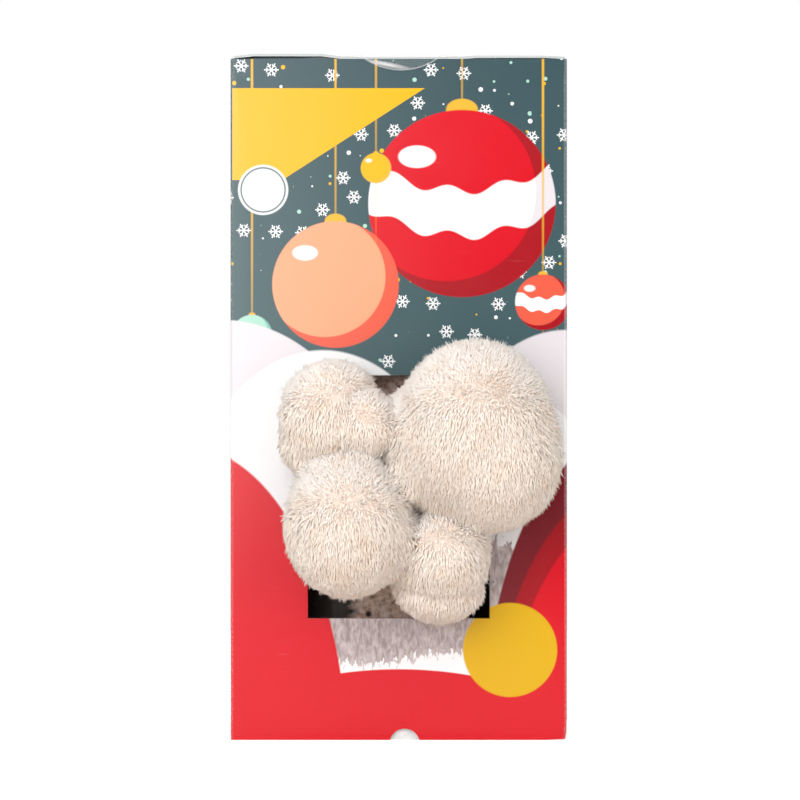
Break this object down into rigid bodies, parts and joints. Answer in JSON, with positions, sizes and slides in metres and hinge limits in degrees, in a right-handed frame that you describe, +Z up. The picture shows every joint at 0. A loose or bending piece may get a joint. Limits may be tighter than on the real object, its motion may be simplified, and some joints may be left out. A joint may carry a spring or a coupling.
{
  "type": "mushroom grow kit",
  "caption": "Tall windowed carton with a bagged sawdust block inside and shaggy white tooth-fungus fruit bodies growing out through the window.",
  "frame": {"origin": "centre of the carton's underside", "axes": "+Z up along the carton's height, -Y out of the window, +X to the right as seen from the front"},
  "size_m": [0.133, 0.1645, 0.2706],
  "materials": {
    "printed_board": "satin varnished print",
    "clear_sticker": "clear gloss film",
    "bag_film": "clear film",
    "sawdust": "matt, crumbly",
    "mushroom_flesh": "soft, matt"
  },
  "bodies": {
    "carton": {"carton": "printed_board", "grow_bag": "bag_film", "substrate_block": "sawdust", "fruit_body_upper_right": "mushroom_flesh", "fruit_body_lower_left": "mushroom_flesh", "fruit_body_upper_left": "mushroom_flesh", "fruit_body_lower_right": "mushroom_flesh"},
    "lid": {"lid": "printed_board", "clear_seal": "clear_sticker"}
  },
  "joints": [
    {"name": "lid_hinge", "type": "hinge", "parent": "carton", "child": "lid", "pos_m": [0, 0.054, 0.27], "axis": [-1, 0, 0], "range_deg": [0, 180]}
  ]
}
